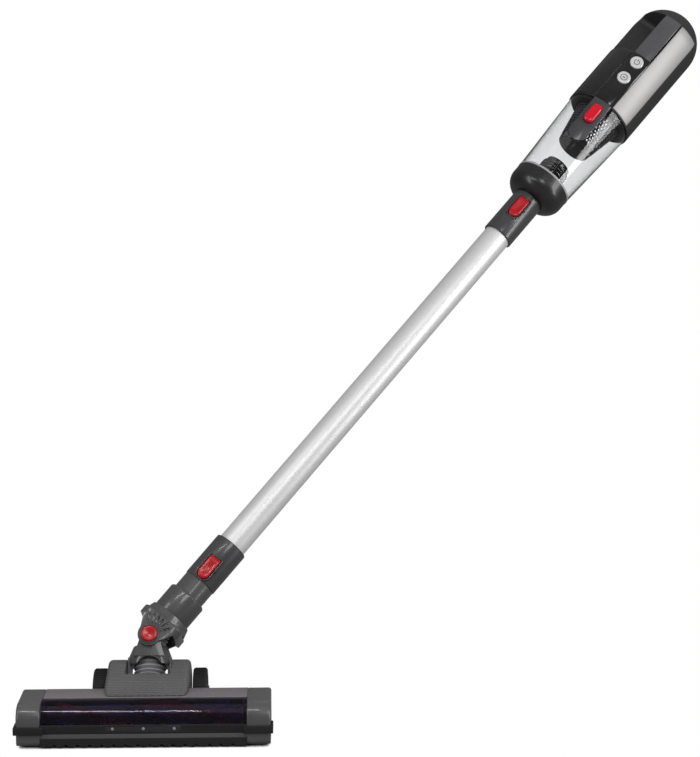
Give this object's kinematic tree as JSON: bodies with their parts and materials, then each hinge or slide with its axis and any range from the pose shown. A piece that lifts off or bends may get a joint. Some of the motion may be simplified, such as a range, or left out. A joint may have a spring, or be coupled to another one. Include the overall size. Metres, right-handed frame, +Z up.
{
  "type": "cordless stick vacuum",
  "caption": "Cordless stick vacuum with a powered floor head, swivelling elbow, slim wand, clear dust bin and a hand unit with a loop handle.",
  "frame": {"origin": "on the floor under the middle of the floor head's sole rail", "axes": "+Z up, -Y to the front of the floor head, +X across it to the side that the stick leans to"},
  "size_m": [0.7688, 0.5172, 0.7474],
  "materials": {
    "head_grey": "satin",
    "plate_grey": "satin",
    "smoked_clear": "polished",
    "black_rubber": "matte",
    "lens": "polished",
    "board": "gloss",
    "steel": "satin",
    "red_bristle": "fibre",
    "blue_bristle": "fibre",
    "core_plastic": "satin",
    "motor_can": "satin",
    "hose": "satin",
    "dark_plastic": "satin",
    "red_gloss": "gloss",
    "satin_tube": "satin",
    "clear_bin": "polished",
    "light_ring": "gloss",
    "black_gloss": "gloss",
    "silver_panel": "brushed",
    "silver_button": "satin",
    "filter_mesh": "perforated",
    "filter_paper": "pleated",
    "battery": "satin",
    "brass": "satin"
  },
  "bodies": {
    "hand_unit": {"body_shell": "dark_plastic", "shell_screws": "steel", "side_panel_right": "silver_panel", "side_panel_left": "black_gloss", "control_panel": "black_gloss", "handle_strap": "black_gloss", "control_board": "board", "motor_bulkhead": "dark_plastic", "fan_motor": "motor_can", "filter_cup": "filter_mesh", "filter_cartridge": "filter_paper", "bin_seal": "black_rubber", "battery_cells": "battery", "battery_holder": "dark_plastic", "charge_jack": "brass", "exhaust_grille": "dark_plastic"},
    "impeller": {"impeller": "steel"},
    "mode_button": {"mode_button": "silver_button"},
    "power_button": {"power_button": "silver_button"},
    "dust_bin": {"bin_wall": "clear_bin", "bin_cap": "dark_plastic", "bin_ring": "light_ring", "inlet_pipe": "dark_plastic", "latch_housing": "dark_plastic", "release_spring": "steel"},
    "bin_release": {"release_button": "red_gloss"},
    "inlet_flap": {"inlet_flap": "black_rubber"},
    "wand": {"wand_tube": "satin_tube", "upper_collar": "dark_plastic", "lower_collar": "head_grey"},
    "upper_latch": {"upper_latch": "red_gloss"},
    "lower_latch": {"lower_latch": "red_gloss"},
    "elbow": {"elbow_shroud": "head_grey", "neck_tube": "head_grey", "pivot_bolts": "steel", "pivot_caps": "red_gloss"},
    "yoke": {"yoke": "head_grey", "hose_upper": "hose", "hose_lower": "hose"},
    "floor_head": {"head_base": "head_grey", "head_top_plate": "plate_grey", "brush_window": "smoked_clear", "end_cap_left": "head_grey", "end_cap_right": "head_grey", "front_bumper": "black_rubber", "led_strip": "lens", "led_board": "board", "saddle_cover": "head_grey", "pitch_pins": "steel", "wheel_axles": "steel", "brush_motor": "motor_can"},
    "brush_roll": {"brush_core": "core_plastic", "bristles_red": "red_bristle", "bristles_blue": "blue_bristle", "brush_hubs": "dark_plastic"},
    "wheel_left": {"wheel_left": "dark_plastic", "tyre_left": "black_rubber"},
    "wheel_right": {"wheel_right": "dark_plastic", "tyre_right": "black_rubber"}
  },
  "joints": [
    {"name": "impeller_spin", "type": "hinge", "parent": "hand_unit", "child": "impeller", "pos_m": [0.5219, 0.37706, 0.62727], "axis": [0.6361, 0.3858, 0.6682], "continuous": true},
    {"name": "mode_button_press", "type": "slide", "parent": "hand_unit", "child": "mode_button", "axis": [0, 0.866, -0.5], "range_m": [0, 0.0012], "stiffness_N_per_m": 600, "springref_m": -0.0005},
    {"name": "power_button_press", "type": "slide", "parent": "hand_unit", "child": "power_button", "axis": [0, 0.866, -0.5], "range_m": [0, 0.0012], "stiffness_N_per_m": 600, "springref_m": -0.0005},
    {"name": "bin_slide", "type": "slide", "parent": "hand_unit", "child": "dust_bin", "axis": [-0.6361, -0.3858, -0.6682], "range_m": [0, 0.12]},
    {"name": "bin_release_press", "type": "slide", "parent": "dust_bin", "child": "bin_release", "axis": [0, 0.866, -0.5], "range_m": [0, 0.0014], "stiffness_N_per_m": 700, "springref_m": -0.0005, "deforming": ["release_spring"]},
    {"name": "inlet_flap_swing", "type": "hinge", "parent": "dust_bin", "child": "inlet_flap", "pos_m": [0.46116, 0.3545, 0.5552], "axis": [-0.7716, 0.318, 0.5509], "range_deg": [0, 60], "stiffness_Nm_per_rad": 0.004, "springref_deg": -5.73},
    {"name": "wand_slide", "type": "slide", "parent": "dust_bin", "child": "wand", "axis": [-0.6361, -0.3858, -0.6682], "range_m": [0, 0.04]},
    {"name": "upper_latch_rock", "type": "hinge", "parent": "wand", "child": "upper_latch", "pos_m": [0.41059, 0.29447, 0.51902], "axis": [0.7716, -0.318, -0.5509], "range_deg": [0, 6], "stiffness_Nm_per_rad": 0.5, "springref_deg": -5.73},
    {"name": "lower_latch_rock", "type": "hinge", "parent": "wand", "child": "lower_latch", "pos_m": [0.06011, 0.08137, 0.15112], "axis": [0.7716, -0.318, -0.5509], "range_deg": [0, 6], "stiffness_Nm_per_rad": 0.5, "springref_deg": -5.73},
    {"name": "elbow_slide", "type": "slide", "parent": "wand", "child": "elbow", "axis": [-0.6361, -0.3858, -0.6682], "range_m": [0, 0.04]},
    {"name": "stick_roll", "type": "hinge", "parent": "elbow", "child": "yoke", "pos_m": [0, 0.0605, 0.07897], "axis": [0, 0.866, -0.5], "range_deg": [-10.5, 89.5], "deforming": ["hose_upper"]},
    {"name": "stick_pitch", "type": "hinge", "parent": "yoke", "child": "floor_head", "pos_m": [0, 0.038, 0.04], "axis": [1, 0, 0], "range_deg": [-30, 45], "deforming": ["hose_lower"]},
    {"name": "brush_spin", "type": "hinge", "parent": "floor_head", "child": "brush_roll", "pos_m": [0, -0.024, 0.0215], "axis": [1, 0, 0], "continuous": true},
    {"name": "wheel_left_spin", "type": "hinge", "parent": "floor_head", "child": "wheel_left", "pos_m": [-0.052, 0.05, 0.025], "axis": [1, 0, 0], "continuous": true},
    {"name": "wheel_right_spin", "type": "hinge", "parent": "floor_head", "child": "wheel_right", "pos_m": [0.052, 0.05, 0.025], "axis": [1, 0, 0], "continuous": true}
  ]
}
